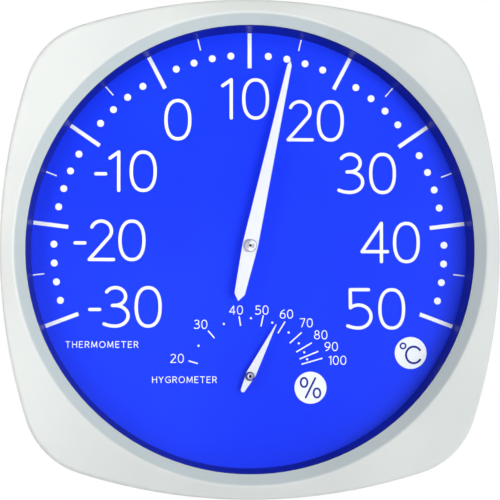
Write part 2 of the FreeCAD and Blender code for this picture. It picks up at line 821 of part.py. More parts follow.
def all_parts():
    parts = {
        "front_frame": front_frame(),
        "window_pane": window_pane(),
        "spacer_ring": spacer_ring(),
        "dial_plate": dial_plate(),
        "thermometer_scale": thermometer_scale(),
        "hygrometer_scale": hygrometer_scale(),
        "carrier_plate": carrier_plate(),
        "carrier_screws": carrier_screws(),
        "back_cover": back_cover(),
        "cover_screws": cover_screws(),
        "wall_feet": wall_feet(),
        "thermometer_pointer": thermometer_pointer(),
        "hygrometer_pointer": hygrometer_pointer(),
    }
    for movement in (thermometer, hygrometer):
        name = movement["name"]
        parts[name + "_coil"] = spiral_coil(movement)
        parts[name + "_stud"] = stud(movement)
        parts[name + "_regulator"] = regulator(movement)
        parts[name + "_bridge"] = bridge(movement)
        parts[name + "_bridge_screws"] = bridge_screws(movement)
        parts[name + "_rear_bush"] = rear_bush(movement)
        parts[name + "_front_bush"] = front_bush(movement)
        parts[name + "_arbor"] = arbor(movement)
        parts[name + "_collet"] = collet(movement)
        parts[name + "_pointer_hub"] = turned(pointer_hub(movement), movement["rest_angle"], movement["z"])
    return parts


def main():
    os.makedirs("parts", exist_ok=True)
    for movement in (thermometer, hygrometer):
        gap = movement["pitch"] - movement["strip"]
        print("least gap between the turns of the %s coil: %.2f mm" % (movement["name"], gap))
    for name, shape in all_parts().items():
        if not shape.isValid() or shape.Volume <= 0:
            raise ValueError(name + " is not a valid solid")
        shape.exportStep(os.path.join("parts", name + ".step"))
        print(name, len(shape.Solids), round(shape.Volume, 1))


main()
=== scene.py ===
import json
import math

import bmesh
import bpy
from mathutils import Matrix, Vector


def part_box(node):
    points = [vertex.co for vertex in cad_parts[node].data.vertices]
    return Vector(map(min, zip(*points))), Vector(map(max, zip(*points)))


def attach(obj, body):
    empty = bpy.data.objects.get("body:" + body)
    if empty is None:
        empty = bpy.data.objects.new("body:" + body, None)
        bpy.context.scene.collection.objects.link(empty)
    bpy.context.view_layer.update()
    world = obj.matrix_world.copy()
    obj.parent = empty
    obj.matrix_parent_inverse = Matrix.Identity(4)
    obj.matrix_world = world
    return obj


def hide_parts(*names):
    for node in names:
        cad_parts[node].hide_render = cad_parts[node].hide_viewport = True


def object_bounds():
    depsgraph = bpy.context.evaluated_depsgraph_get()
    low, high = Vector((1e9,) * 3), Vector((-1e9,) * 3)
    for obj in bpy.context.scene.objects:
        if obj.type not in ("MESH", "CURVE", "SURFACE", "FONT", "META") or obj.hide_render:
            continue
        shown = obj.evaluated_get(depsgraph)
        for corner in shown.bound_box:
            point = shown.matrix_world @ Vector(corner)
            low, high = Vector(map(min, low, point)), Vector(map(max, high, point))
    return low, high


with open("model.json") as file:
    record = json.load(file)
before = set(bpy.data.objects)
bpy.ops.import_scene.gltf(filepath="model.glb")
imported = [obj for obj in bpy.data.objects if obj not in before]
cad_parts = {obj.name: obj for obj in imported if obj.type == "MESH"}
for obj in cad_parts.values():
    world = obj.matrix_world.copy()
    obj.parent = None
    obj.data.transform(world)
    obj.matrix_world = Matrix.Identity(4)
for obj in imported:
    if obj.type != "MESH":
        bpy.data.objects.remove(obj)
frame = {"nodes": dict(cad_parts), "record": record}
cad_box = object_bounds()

MM = 0.001
MOVEMENTS = ("thermometer", "hygrometer")

# Front of the blue dial, on which all lettering is printed
dial_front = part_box("dial_plate")[0].y

# Colours, linear: each finish drifts slowly between two of them
WHITE = (1.0, 1.0, 1.0)
CASE_LIGHT = (0.635, 0.65, 0.64)
CASE_DARK = (0.60, 0.615, 0.61)
# Painted shade: on the bevelled lip the case colour is multiplied by this cooler grey
LIP_PAINTED_SHADE = (0.74, 0.80, 0.83)
DIAL_BLUE = (0.003, 0.042, 0.95)
DIAL_BLUE_DEEP = (0.002, 0.032, 0.90)
# Ring wall: its own blue, darkened to dark navy as painted shade
RING_SHADE_BLUE = (0.003, 0.014, 0.31)
RING_SHADE_BLUE_DEEP = (0.0015, 0.008, 0.23)
SIGN_BLUE = (0.006, 0.020, 0.34)
SIGN_BLUE_DEEP = (0.005, 0.016, 0.28)
PRINT_WHITE = (0.95, 0.96, 0.96)
PRINT_WHITE_DULL = (0.92, 0.93, 0.94)
ENAMEL = (0.86, 0.86, 0.87)
ENAMEL_DULL = (0.81, 0.81, 0.83)
FLOOR_PALE = (0.90, 0.90, 0.89)
FLOOR_DULL = (0.87, 0.87, 0.86)

# Distances from the axis between which the painted shade on the bevelled lip fades out
LIP_SHADE_BAND = (117.3 * MM, 118.4 * MM)

# Common finish: range of noise and scale for the slow colour drift,
# spread of the roughness, detail and depth of the grain, and share of mirror reflection
DRIFT_RANGE = (0.35, 0.65)
DRIFT_SCALE = 18
ROUGHNESS_SPREAD = 0.15
GRAIN_DETAIL = 3.0
GRAIN_DEPTH = 0.05 * MM
PLAIN_SPECULAR = 0.5

# Clear pane: tint, roughness of its gloss, and share of gloss from straight ahead and aslant
PANE_TINT = (0.985, 0.988, 0.995)
PANE_ROUGHNESS = (0.12, 0.20)
PANE_SMEAR_SCALE = 30
PANE_SMEAR_DETAIL = 5.0
PANE_GLOSS = (0.006, 0.9)
PANE_GLOSS_POWER = 5

# Turned metal, with fine grooves round the axis of the piece
TURNED_ROUGHNESS = 0.28
TURNED_METALLIC = 0.8
TURNED_ANISOTROPY = 0.75
TURNED_DRIFT_SCALE = 900
GROOVE_SCALE = 1100
GROOVE_DISTORTION = 0.6
GROOVE_STRENGTH = 0.35
GROOVE_DEPTH = 0.01 * MM

# Thickness of the print, and the step by which each further stroke of a glyph stands out more
PRINT_LIFT = 0.12 * MM
SIGN_LIFT = 0.16 * MM
STROKE_STEP = 0.004 * MM

# Outer heights and stroke widths of the lettering
BIG_HEIGHT = 20.95 * MM
BIG_STROKE = 1.64 * MM
SMALL_HEIGHT = 4.6 * MM
SMALL_STROKE = 0.46 * MM
WORD_HEIGHT = 3.35 * MM
WORD_STROKE = 0.39 * MM

# Clear space after a glyph, in shares of its height; round shapes sit closer than straight ones
BIG_SPACING = {"1": 0.224, "2": 0.077, "3": 0.117, "4": 0.093, "5": 0.137, "-": 0.027}
BIG_SPACING_ELSE = 0.025
SMALL_SPACING = 0.16

# Middle of the last digit of each big number, in mm from the dial's centre
BIG_NUMBERS = [
    ("-30", -50.95, -28.77), ("-20", -59.15, 4.63), ("-10", -53.55, 39.43),
    ("0", -36.15, 65.53), ("10", 3.05, 76.23), ("20", 40.85, 65.33),
    ("30", 67.25, 38.83), ("40", 79.25, 3.93), ("50", 71.75, -29.57),
]

# Middle of each small number, in mm from the dial's centre
SMALL_NUMBERS = [
    ("20", -36.45, -54.57), ("30", -24.65, -37.47), ("40", -6.85, -30.27),
    ("50", 6.15, -30.27), ("60", 18.55, -32.27), ("70", 28.55, -36.67),
    ("80", 35.85, -42.67), ("90", 41.15, -48.57), ("100", 44.25, -55.47),
]

# Left end, right end and base line of each word, in mm from the dial's centre
WORDS = [("THERMOMETER", -92.35, -55.85, -49.35), ("HYGROMETER", -48.95, -16.45, -66.95)]

# White discs that carry the signs: their middles in mm from the dial's centre, and their radius
CELSIUS_BADGE = (81.25, -51.77)
PERCENT_BADGE = (30.65, -69.27)
BADGE_RADIUS = 8.05 * MM

# Signs, in mm from the middle of their disc, where the percent sign's second ring stands opposite the first;
# only the stroke widths are in metres
DEGREE_PLACE = (-3.84, 3.53)
DEGREE_RADIUS = 1.35
DEGREE_STROKE = 0.82 * MM
CELSIUS_PLACE = (1.55, -1.0)
CELSIUS_RADII = (3.9, 4.15)
CELSIUS_ENDS = (36, 325)
CELSIUS_STEPS = 48
CELSIUS_STROKE = 1.06 * MM
PERCENT_RING_PLACE = (3.25, -2.65)
PERCENT_RING_RADII = (1.67, 2.27)
PERCENT_BAR = ((-2.4, -4.9), (2.4, 4.8))
PERCENT_STROKE = 0.95 * MM

# Squareness of an oval: a true ellipse, the bowls of the figures, and the figure 0
ELLIPSE = 2.0
BOWL = 2.1
ZERO = 2.3

# Corners of a stroke: above SHARP_BEND they are rounded outside, in steps of ROUNDING_STEP at most
SHARP_BEND = math.radians(15)
ROUNDING_STEP = math.radians(12)

# Number of sides of round solids, and the angle from which an edge of a turned one is sharp
ROUND_SIDES = 96
HOLE_SHADE_SIDES = 32
SHARP_EDGE = math.radians(25)

# Turned hub caps: width and height of each bevelled rim, and radii of hole, spigot, collar and bore
HUB_BEVELS = {"thermometer": (0.5 * MM, 0.5 * MM), "hygrometer": (0.65 * MM, 0.9 * MM)}
HUB_HOLE = 0.66 * MM
HUB_SPIGOT = 1.6 * MM
HUB_COLLAR = 2.3 * MM
HUB_BORE = 1.0 * MM
HUB_EDGE_ROUNDING = 0.08 * MM

# Painted shade in each cap's hole, as a dark disc: its radius, and the depths of its front and rear behind
# the face
HOLE_SHADE_RADIUS = 0.65 * MM
HOLE_SHADE_DEPTHS = (0.1 * MM, 0.25 * MM)

# Materials of each cap's face and rim; on the hygrometer, the darker bluish face and the dark blue rim are
# painted shade and a painted reflection of the blue dial
HUB_SURFACES = {"thermometer": ("hub_metal", "hub_metal"), "hygrometer": ("hub_metal_painted_shade_and_reflection", "hub_rim")}

# Camera: almost frontal, a little from the left and from below; it sees FRAME_WIDTH across at the aim
AIM = Vector((-0.35 * MM, -27 * MM, -0.55 * MM))
CAMERA_AZIMUTH = -3.2
CAMERA_ELEVATION = -2.8
CAMERA_DISTANCE = 1.5
FRAME_WIDTH = 249.9 * MM
SENSOR_WIDTH = 36.0

# Lights: azimuth and elevation in degrees, distance, width and height in metres, power in watts, colour
LIGHTS = {
    "right_front": (34, -2, 1.3, 0.7, 0.36, 8.1, (0.97, 1.0, 0.99)),
    "right_key": (54, -2, 1.3, 1.0, 0.36, 4.6, (0.94, 1.0, 0.99)),
    "left_near": (-61, 1, 0.3, 0.1, 0.34, 0.45, (1.0, 0.995, 0.975)),
    "top_near": (-15, 56, 0.3, 0.34, 0.1, 0.29, (1.0, 1.0, 0.98)),
    "glow": (-8, -5, 1.4, 0.5, 0.5, 0.6, WHITE),
    "back_fill": (165, 35, 1.6, 1.6, 1.0, 20.0, WHITE),
}
AMBIENT = 0.18
AMBIENT_COLOUR = (0.96, 0.98, 1.0)

# Round floor: its radius, and its drop below the object, in metres
FLOOR_RADIUS = 1.15
FLOOR_DROP = 0.1


# Lines

def arc(x, y, radius_x, radius_y, start, end, steps=28):
    """Points on an ellipse from one angle to another, in degrees."""
    points = []
    for i in range(steps + 1):
        turn = math.radians(start + (end - start) * i / steps)
        points.append((x + radius_x * math.cos(turn), y + radius_y * math.sin(turn)))
    return points


def oval(x, y, radius_x, radius_y, squareness, steps=72):
    """Closed oval, whose last point repeats the first; a squareness of 2 gives an ellipse."""
    points = []
    for i in range(steps):
        turn = math.tau * i / steps
        across, up = math.cos(turn), math.sin(turn)
        points.append((
            x + radius_x * math.copysign(abs(across) ** (2 / squareness), across),
            y + radius_y * math.copysign(abs(up) ** (2 / squareness), up),
        ))
    return points + points[:1]


def half_turned(lines, width):
    """The lines of a glyph, turned upside down in its own box."""
    return [[(width - x, 1 - y) for x, y in line] for line in lines]


def circle(x, z, radius, sides=ROUND_SIDES):
    """Points round a circle, each named once."""
    turns = [math.tau * i / sides for i in range(sides)]
    return [(x + radius * math.cos(turn), z + radius * math.sin(turn)) for turn in turns]


# Letterforms: width and lines; x and y are shares of the height between the outermost stroke centres
SIX = [arc(0.60, 0.30, 0.60, 0.70, 100, 180), oval(0.30, 0.30, 0.30, 0.30, BOWL)]
GLYPHS = {
    "0": (0.62, [oval(0.31, 0.5, 0.31, 0.5, ZERO)]),
    "1": (0.226, [[(0, 0.842), (0.226, 1), (0.226, 0)]]),
    "2": (0.63, [arc(0.31, 0.745, 0.265, 0.255, 157, -38) + [(0, 0), (0.63, 0)]]),
    "3": (0.625, [
        arc(0.295, 0.77, 0.265, 0.23, 149, -90) + [(0.215, 0.535)],
        arc(0.29, 0.268, 0.335, 0.268, 90, -90) + arc(0.29, 0.35, 0.53, 0.35, -92, -123),
    ]),
    "4": (0.667, [[(0.507, 0), (0.507, 1)], [(0.507, 1), (0, 0.26), (0.667, 0.26)]]),
    "5": (0.615, [
        [(0.55, 1), (0.073, 1)]
        + arc(0.29, 0.30, 0.325, 0.30, 131, -90)
        + arc(0.29, 0.35, 0.52, 0.35, -92, -123)
    ]),
    "6": (0.60, SIX),
    "7": (0.56, [[(0, 1), (0.56, 1), (0.18, 0)]]),
    "8": (0.60, [oval(0.30, 0.76, 0.23, 0.24, BOWL), oval(0.30, 0.26, 0.30, 0.26, BOWL)]),
    "9": (0.60, half_turned(SIX, 0.60)),
    "-": (0.255, [[(0, 0.43), (0.255, 0.43)]]),
    "T": (0.70, [[(0, 1), (0.70, 1)], [(0.35, 1), (0.35, 0)]]),
    "H": (0.72, [[(0, 0), (0, 1)], [(0.72, 0), (0.72, 1)], [(0, 0.52), (0.72, 0.52)]]),
    "E": (0.57, [[(0.57, 1), (0, 1), (0, 0), (0.57, 0)], [(0, 0.53), (0.50, 0.53)]]),
    "R": (0.64, [
        [(0, 0), (0, 1)],
        [(0, 1)] + arc(0.32, 0.74, 0.29, 0.26, 90, -90) + [(0, 0.48)],
        [(0.32, 0.48), (0.64, 0)],
    ]),
    "M": (0.92, [[(0, 0), (0.07, 1), (0.46, 0.12), (0.85, 1), (0.92, 0)]]),
    "O": (0.94, [oval(0.47, 0.5, 0.47, 0.5, ELLIPSE)]),
    "Y": (0.68, [[(0, 1), (0.34, 0.47), (0.68, 1)], [(0.34, 0.47), (0.34, 0)]]),
    "G": (0.84, [arc(0.50, 0.5, 0.50, 0.5, 52, 302) + [(0.84, 0.10), (0.84, 0.46), (0.54, 0.46)]]),
}


# Solids

def loop(solid, points, depth):
    """Vertices at points (x, z) in the plane at a depth y."""
    return [solid.verts.new((x, depth, z)) for x, z in points]


def wall(solid, first, second):
    """Band of faces between two closed loops of vertices."""
    for i in range(len(first)):
        following = (i + 1) % len(first)
        solid.faces.new((first[i], first[following], second[following], second[i]))


def slab(solid, outline, front, rear):
    """Flat solid with an outline, from a front depth to a rear one."""
    ends = [loop(solid, outline, front), loop(solid, outline, rear)]
    wall(solid, *ends)
    for end in ends:
        solid.faces.new(end)


def corner_points(centre, normal, sweep, radius):
    """Points from a normal's direction round a centre, through a signed angle."""
    start = math.atan2(normal.y, normal.x)
    steps = max(2, math.ceil(abs(sweep) / ROUNDING_STEP))
    turns = [start + sweep * i / steps for i in range(steps + 1)]
    return [centre + Vector((math.cos(turn), math.sin(turn))) * radius for turn in turns]


def edge_and_cap(points, half_width):
    """Left edge of a stroke, round outside each sharp corner, and the round cap at its far end."""
    normals = []
    for here, there in zip(points, points[1:]):
        along = (there - here).normalized()
        normals.append(Vector((-along.y, along.x)))
    edge = [points[0] + normals[0] * half_width]
    for point, before, after in zip(points[1:], normals, normals[1:]):
        bend = math.atan2(before.x * after.y - before.y * after.x, before.dot(after))
        if bend < -SHARP_BEND:
            edge += corner_points(point, before, bend, half_width)
        else:
            edge.append(point + (before + after).normalized() * half_width / math.cos(bend / 2))
    return edge + corner_points(points[-1], normals[-1], -math.pi, half_width)[:-1]


def bar(solid, points, width, front, rear):
    """Stroke with two round ends."""
    outline = edge_and_cap(points, width / 2) + edge_and_cap(points[::-1], width / 2)
    slab(solid, outline, front, rear)


def ring(solid, points, width, front, rear):
    """Stroke along a closed line, whose points are each named once."""
    edges = []
    for offset in (width / 2, -width / 2):
        edge = []
        for before, point, after in zip(points[-1:] + points, points, points[1:] + points[:1]):
            along = (after - before).normalized()
            edge.append(point + Vector((along.y, -along.x)) * offset)
        edges.append(edge)
    depths = (front, front, rear, rear)
    loops = [loop(solid, edge, depth) for edge, depth in zip(edges + edges[::-1], depths)]
    for first, second in zip(loops, loops[1:] + loops[:1]):
        wall(solid, first, second)


def stroke(solid, line, width, front, rear):
    """Thin solid along a line on the dial: a ring if the line is closed, else a bar."""
    points = [Vector(place) for place in line]
    if line[0] == line[-1]:
        ring(solid, points[:-1], width, front, rear)
    else:
        bar(solid, points, width, front, rear)


def mesh_object(name, solid, material):
    bmesh.ops.recalc_face_normals(solid, faces=solid.faces)
    mesh = bpy.data.meshes.new(name)
    solid.to_mesh(mesh)
    solid.free()
    mesh.materials.append(material)
    piece = bpy.data.objects.new(name, mesh)
    bpy.context.scene.collection.objects.link(piece)
    return piece


# Materials

def new_material(name, roughness, metallic, specular=PLAIN_SPECULAR):
    material = bpy.data.materials.new(name)
    material.use_nodes = True
    nodes, links = material.node_tree.nodes, material.node_tree.links
    shader = nodes["Principled BSDF"]
    shader.inputs["Roughness"].default_value = roughness
    shader.inputs["Metallic"].default_value = metallic
    shader.inputs["Specular IOR Level"].default_value = specular
    return material, nodes, links, shader


def noise(nodes, links, scale, detail=4.0, stretch=(1, 1, 1)):
    """Noise over the piece's own coordinates; its scale counts features per metre."""
    place = nodes.new("ShaderNodeTexCoord")
    mapping = nodes.new("ShaderNodeMapping")
    mapping.inputs["Scale"].default_value = stretch
    texture = nodes.new("ShaderNodeTexNoise")
    texture.inputs["Scale"].default_value = scale
    texture.inputs["Detail"].default_value = detail
    links.new(place.outputs["Object"], mapping.inputs["Vector"])
    links.new(mapping.outputs["Vector"], texture.inputs["Vector"])
    return texture


def map_range(nodes, links, value, low, high, start=0.0, end=1.0):
    """Output that runs from low to high as a value runs from start to end."""
    node = nodes.new("ShaderNodeMapRange")
    node.inputs["From Min"].default_value = start
    node.inputs["From Max"].default_value = end
    node.inputs["To Min"].default_value = low
    node.inputs["To Max"].default_value = high
    links.new(value, node.inputs["Value"])
    return node.outputs["Result"]


def vary_colour(nodes, links, shader, texture, low, high):
    ramp = nodes.new("ShaderNodeValToRGB")
    for stop, position, colour in zip(ramp.color_ramp.elements, DRIFT_RANGE, (low, high)):
        stop.position = position
        stop.color = (*colour, 1)
    links.new(texture.outputs["Fac"], ramp.inputs["Fac"])
    links.new(ramp.outputs["Color"], shader.inputs["Base Color"])


def add_bump(nodes, links, shader, texture, strength, depth):
    bump = nodes.new("ShaderNodeBump")
    bump.inputs["Strength"].default_value = strength
    bump.inputs["Distance"].default_value = depth
    links.new(texture.outputs["Fac"], bump.inputs["Height"])
    links.new(bump.outputs["Normal"], shader.inputs["Normal"])


def surface(
    name, low, high, *, roughness, grain, bump,
    metallic=0.0, specular=PLAIN_SPECULAR, drift=DRIFT_SCALE, stretch=(1, 1, 1),
):
    """Common finish between two colours: a slow drift, and fine grain in the roughness and as a bump."""
    material, nodes, links, shader = new_material(name, roughness, metallic, specular)
    vary_colour(nodes, links, shader, noise(nodes, links, drift), low, high)
    fine = noise(nodes, links, grain, GRAIN_DETAIL, stretch)
    spread = (roughness * (1 - ROUGHNESS_SPREAD), roughness * (1 + ROUGHNESS_SPREAD))
    links.new(map_range(nodes, links, fine.outputs["Fac"], *spread), shader.inputs["Roughness"])
    add_bump(nodes, links, shader, fine, bump, GRAIN_DEPTH)
    return material


def case_material():
    """Satin plastic with painted shade on the bevelled lip: greyer and cooler there, which its distance from
    the axis tells.
    """
    look = surface(
        "case_satin_plastic", CASE_DARK, CASE_LIGHT,
        roughness=0.60, grain=2600, bump=0.10, specular=0.1,
    )
    nodes, links = look.node_tree.nodes, look.node_tree.links
    base_colour = nodes["Principled BSDF"].inputs["Base Color"]
    plain = base_colour.links[0].from_socket
    place = nodes.new("ShaderNodeTexCoord")
    flat = nodes.new("ShaderNodeVectorMath")
    flat.operation = "MULTIPLY"
    flat.inputs[1].default_value = (1, 0, 1)
    radius = nodes.new("ShaderNodeVectorMath")
    radius.operation = "LENGTH"
    links.new(place.outputs["Object"], flat.inputs[0])
    links.new(flat.outputs["Vector"], radius.inputs[0])
    # Painted shade: the lip band is multiplied by a cooler grey
    lip_shade = map_range(nodes, links, radius.outputs["Value"], 1, 0, *LIP_SHADE_BAND)
    shade_mix = nodes.new("ShaderNodeMix")
    shade_mix.data_type = "RGBA"
    shade_mix.blend_type = "MULTIPLY"
    below, shade_colour = (socket for socket in shade_mix.inputs if socket.type == "RGBA")
    shaded = next(socket for socket in shade_mix.outputs if socket.type == "RGBA")
    shade_colour.default_value = (*LIP_PAINTED_SHADE, 1)
    links.new(lip_shade, shade_mix.inputs["Factor"])
    links.new(plain, below)
    links.new(shaded, base_colour)
    return look


def window_material():
    """Clear pane: what lies behind shows through, under a faint gloss that grows aslant."""
    material = bpy.data.materials.new("clear_pane")
    material.use_nodes = True
    nodes, links = material.node_tree.nodes, material.node_tree.links
    nodes.remove(nodes["Principled BSDF"])
    clear = nodes.new("ShaderNodeBsdfTransparent")
    clear.inputs["Color"].default_value = (*PANE_TINT, 1)
    gloss = nodes.new("ShaderNodeBsdfGlossy")
    smear = noise(nodes, links, PANE_SMEAR_SCALE, PANE_SMEAR_DETAIL)
    roughness = map_range(nodes, links, smear.outputs["Fac"], *PANE_ROUGHNESS)
    links.new(roughness, gloss.inputs["Roughness"])
    slant = nodes.new("ShaderNodeLayerWeight")
    steep = nodes.new("ShaderNodeMath")
    steep.operation = "POWER"
    steep.inputs[1].default_value = PANE_GLOSS_POWER
    links.new(slant.outputs["Facing"], steep.inputs[0])
    share = map_range(nodes, links, steep.outputs["Value"], *PANE_GLOSS)
    mixed = nodes.new("ShaderNodeMixShader")
    links.new(share, mixed.inputs["Fac"])
    links.new(clear.outputs["BSDF"], mixed.inputs[1])
    links.new(gloss.outputs["BSDF"], mixed.inputs[2])
    links.new(mixed.outputs["Shader"], nodes["Material Output"].inputs["Surface"])
    return material


def turned_metal(name, low, high):
    """Lathe-turned face: fine circular grooves round the piece's own axis."""
    material, nodes, links, shader = new_material(name, TURNED_ROUGHNESS, TURNED_METALLIC)
    shader.inputs["Anisotropic"].default_value = TURNED_ANISOTROPY
    tangent = nodes.new("ShaderNodeTangent")
    tangent.direction_type = "RADIAL"
    tangent.axis = "Y"
    links.new(tangent.outputs["Tangent"], shader.inputs["Tangent"])
    vary_colour(nodes, links, shader, noise(nodes, links, TURNED_DRIFT_SCALE), low, high)
    place = nodes.new("ShaderNodeTexCoord")
    grooves = nodes.new("ShaderNodeTexWave")
    grooves.wave_type = "RINGS"
    grooves.rings_direction = "Y"
    grooves.inputs["Scale"].default_value = GROOVE_SCALE
    grooves.inputs["Distortion"].default_value = GROOVE_DISTORTION
    links.new(place.outputs["Object"], grooves.inputs["Vector"])
    add_bump(nodes, links, shader, grooves, GROOVE_STRENGTH, GROOVE_DEPTH)
    return material


def make_materials():
    """Finish of every slot in the record, and of the pieces that only the visual model has."""
    return {
        "case_plastic": case_material(),
        "window_clear": window_material(),
        # Blue of the ring wall, darkened to dark navy as painted shade
        "ring_blue": surface(
            "ring_plastic_painted_shade", RING_SHADE_BLUE_DEEP, RING_SHADE_BLUE,
            roughness=0.36, grain=900, bump=0.03, specular=0.25,
        ),
        "dial_blue": surface(
            "dial_print_blue", DIAL_BLUE_DEEP, DIAL_BLUE,
            roughness=0.42, grain=3500, bump=0.06, specular=0.15, drift=9,
        ),
        "print_white": surface(
            "dial_print_white", PRINT_WHITE_DULL, PRINT_WHITE,
            roughness=0.5, grain=3500, bump=0.05,
        ),
        "sign_blue": surface(
            "dial_sign_blue", SIGN_BLUE_DEEP, SIGN_BLUE,
            roughness=0.5, grain=3500, bump=0.05, specular=0.15,
        ),
        "pointer_white": surface(
            "pointer_enamel", ENAMEL_DULL, ENAMEL,
            roughness=0.33, grain=1800, bump=0.06,
        ),
        "hub_metal": turned_metal("turned_metal", (0.84, 0.83, 0.88), (0.95, 0.95, 0.97)),
        # Painted shade and painted reflection of the blue dial: a darker, bluish copy of the turned metal
        # for the hygrometer's face
        "hub_metal_painted_shade_and_reflection": turned_metal("turned_metal_painted_shade_and_reflection", (0.40, 0.39, 0.54), (0.50, 0.49, 0.64)),
        # Painted shade and painted reflection of the blue dial: dark blue on the hygrometer cap's rim
        "hub_rim": surface(
            "hub_rim_painted_shade_and_reflection", (0.07, 0.08, 0.20), (0.12, 0.13, 0.28),
            roughness=0.32, grain=2500, bump=0.1, metallic=0.8, drift=900,
        ),
        # Painted shade: near-black disc in each cap's centre hole
        "hole_shade": surface(
            "hole_painted_shade", (0.004, 0.004, 0.005), (0.008, 0.008, 0.010),
            roughness=0.6, grain=2500, bump=0.1, specular=0.1,
        ),
        "carrier_plastic": surface(
            "carrier_plastic", (0.020, 0.021, 0.024), (0.032, 0.033, 0.036),
            roughness=0.5, grain=1500, bump=0.25,
        ),
        "cover_plastic": surface(
            "cover_textured_plastic", (0.60, 0.61, 0.61), (0.66, 0.67, 0.67),
            roughness=0.55, grain=1300, bump=0.5,
        ),
        "screw_steel": surface(
            "zinc_steel", (0.50, 0.51, 0.53), (0.64, 0.65, 0.66),
            roughness=0.32, grain=2500, bump=0.2, metallic=1.0, drift=300,
        ),
        "foot_rubber": surface(
            "foot_rubber", (0.012, 0.012, 0.012), (0.022, 0.022, 0.022),
            roughness=0.75, grain=1500, bump=0.4,
        ),
        "coil_steel": surface(
            "coil_strip", (0.52, 0.48, 0.42), (0.66, 0.62, 0.56),
            roughness=0.28, grain=600, bump=0.2, metallic=1.0, stretch=(1, 12, 1),
        ),
        "humidity_strip": surface(
            "humidity_strip", (0.42, 0.30, 0.16), (0.54, 0.40, 0.24),
            roughness=0.6, grain=1600, bump=0.3,
        ),
        "brass": surface(
            "turned_brass", (0.60, 0.42, 0.16), (0.74, 0.54, 0.24),
            roughness=0.3, grain=1500, bump=0.2, metallic=1.0, drift=200,
        ),
        "bridge_steel": surface(
            "pressed_steel", (0.50, 0.50, 0.52), (0.62, 0.62, 0.64),
            roughness=0.35, grain=700, bump=0.2, metallic=1.0, stretch=(1, 8, 8),
        ),
        "arbor_steel": surface(
            "ground_steel", (0.60, 0.60, 0.62), (0.70, 0.70, 0.72),
            roughness=0.2, grain=2500, bump=0.1, metallic=1.0,
        ),
    }


def dress_nodes(materials):
    """Gives each piece of the frame the material of its slot in the record."""
    for part in frame["record"]["subparts"]:
        mesh = frame["nodes"][part["node"]].data
        mesh.materials.clear()
        mesh.materials.append(materials[part["material_slot"]])


# Printed dial

def glyph_width(glyph, height, width):
    return GLYPHS[glyph][0] * (height - width) + width


def text_width(text, height, width, spacing):
    gaps = sum(spacing(glyph) * height for glyph in text[:-1])
    return sum(glyph_width(glyph, height, width) for glyph in text) + gaps


def draw_glyph(solid, glyph, x, base, height, width):
    """Draws a glyph whose outer box starts at x and stands on the base line."""
    span = height - width
    left, foot = x + width / 2, base + width / 2
    for number, line in enumerate(GLYPHS[glyph][1]):
        points = [(left + across * span, foot + up * span) for across, up in line]
        stroke(solid, points, width, dial_front - PRINT_LIFT - number * STROKE_STEP, dial_front)


def write_text(solid, text, x, base, height, width, spacing):
    for glyph in text:
        draw_glyph(solid, glyph, x, base, height, width)
        x += glyph_width(glyph, height, width) + spacing(glyph) * height


def big_spacing(glyph):
    return BIG_SPACING.get(glyph, BIG_SPACING_ELSE)


def even_spacing(share):
    """Spacing that is the same after every glyph."""
    return lambda glyph: share


def print_big_numbers(material):
    """Temperature numbers, each placed by its last digit."""
    solid = bmesh.new()
    for text, x, z in BIG_NUMBERS:
        width = text_width(text, BIG_HEIGHT, BIG_STROKE, big_spacing)
        last = glyph_width(text[-1], BIG_HEIGHT, BIG_STROKE)
        start = x * MM + last / 2 - width
        write_text(solid, text, start, z * MM - BIG_HEIGHT / 2, BIG_HEIGHT, BIG_STROKE, big_spacing)
    return mesh_object("printed_temperature_numbers", solid, material)


def print_small_numbers(material):
    """Humidity numbers, each placed by its middle."""
    solid = bmesh.new()
    spacing = even_spacing(SMALL_SPACING)
    for text, x, z in SMALL_NUMBERS:
        start = x * MM - text_width(text, SMALL_HEIGHT, SMALL_STROKE, spacing) / 2
        write_text(solid, text, start, z * MM - SMALL_HEIGHT / 2, SMALL_HEIGHT, SMALL_STROKE, spacing)
    return mesh_object("printed_humidity_numbers", solid, material)


def print_words(material):
    """Words, each spaced out evenly between its two ends."""
    solid = bmesh.new()
    for text, left, right, base in WORDS:
        tight = text_width(text, WORD_HEIGHT, WORD_STROKE, even_spacing(0))
        spacing = even_spacing(((right - left) * MM - tight) / (len(text) - 1) / WORD_HEIGHT)
        write_text(solid, text, left * MM, base * MM, WORD_HEIGHT, WORD_STROKE, spacing)
    return mesh_object("printed_words", solid, material)


def print_discs(material):
    solid = bmesh.new()
    for x, z in (CELSIUS_BADGE, PERCENT_BADGE):
        slab(solid, circle(x * MM, z * MM, BADGE_RADIUS), dial_front - PRINT_LIFT, dial_front)
    return mesh_object("printed_badges", solid, material)


def on_badge(points, badge):
    """Points in mm round a badge's middle, as metres on the dial."""
    return [((badge[0] + x) * MM, (badge[1] + z) * MM) for x, z in points]


def print_signs(material):
    """The degree-Celsius and percent signs on their discs."""
    front, rear = dial_front - SIGN_LIFT, dial_front - PRINT_LIFT
    solid = bmesh.new()
    degree = oval(*DEGREE_PLACE, DEGREE_RADIUS, DEGREE_RADIUS, ELLIPSE)
    stroke(solid, on_badge(degree, CELSIUS_BADGE), DEGREE_STROKE, front, rear)
    letter = arc(*CELSIUS_PLACE, *CELSIUS_RADII, *CELSIUS_ENDS, CELSIUS_STEPS)
    stroke(solid, on_badge(letter, CELSIUS_BADGE), CELSIUS_STROKE, front, rear)
    x, z = PERCENT_RING_PLACE
    for side in (-1, 1):
        small_ring = oval(x * side, z * side, *PERCENT_RING_RADII, BOWL)
        stroke(solid, on_badge(small_ring, PERCENT_BADGE), PERCENT_STROKE, front, rear)
    stroke(solid, on_badge(PERCENT_BAR, PERCENT_BADGE), PERCENT_STROKE, front - STROKE_STEP, rear)
    return mesh_object("printed_badge_signs", solid, material)


# Turned hub caps

